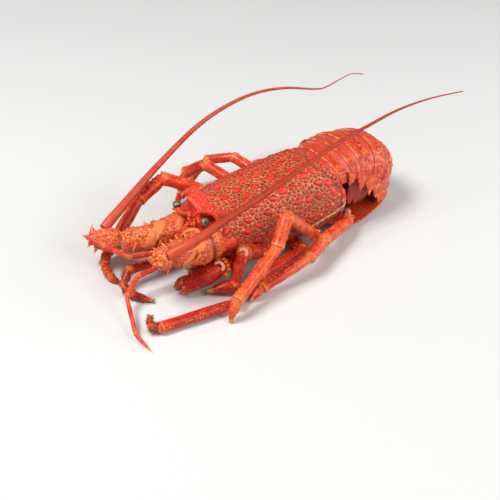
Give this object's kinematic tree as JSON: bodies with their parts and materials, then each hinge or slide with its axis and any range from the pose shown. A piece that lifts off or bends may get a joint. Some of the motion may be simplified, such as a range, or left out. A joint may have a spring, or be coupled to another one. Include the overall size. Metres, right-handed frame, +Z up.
{
  "type": "cooked crayfish",
  "caption": "Whole cooked spiny crayfish lying on its breast, with scaly shell, long swept-back feelers, bent walking legs and tail curled under.",
  "frame": {"origin": "on the table plane, at the middle of the flat of the breast, under the body shell", "axes": "+Y from head to tail along the body, +Z up out of the back, +X to the animal's left side"},
  "size_m": [0.1434, 0.2996, 0.0854],
  "materials": {
    "carapace_shell": "cooked red shell with raised scales, half matt",
    "tail_shell": "smooth cooked orange-red shell, wet gloss",
    "leg_shell": "cooked orange-red shell, wet gloss",
    "feeler_shell": "cooked red shell, ringed and spiny, half matt",
    "eye_surface": "dark glossy eye"
  },
  "bodies": {
    "root": {"antenna_base_left": "feeler_shell", "antenna_base_right": "feeler_shell", "antenna_whip_left": "feeler_shell", "antenna_whip_right": "feeler_shell", "antennule_left": "feeler_shell", "antennule_right": "feeler_shell", "carapace": "carapace_shell", "eye_left": "eye_surface", "eye_right": "eye_surface", "leg_left_1": "leg_shell", "leg_left_2": "leg_shell", "leg_left_3": "leg_shell", "leg_left_4": "leg_shell", "leg_left_5": "leg_shell", "leg_right_1": "leg_shell", "leg_right_2": "leg_shell", "leg_right_3": "leg_shell", "leg_right_4": "leg_shell", "leg_right_5": "leg_shell", "mouth_leg_left": "leg_shell", "mouth_leg_right": "leg_shell", "tail_fan_inner_left": "tail_shell", "tail_fan_inner_right": "tail_shell", "tail_fan_middle": "tail_shell", "tail_fan_outer_left": "tail_shell", "tail_fan_outer_right": "tail_shell", "tail_ring_1": "tail_shell", "tail_ring_2": "tail_shell", "tail_ring_3": "tail_shell", "tail_ring_4": "tail_shell", "tail_ring_5": "tail_shell", "tail_ring_6": "tail_shell"}
  },
  "joints": []
}
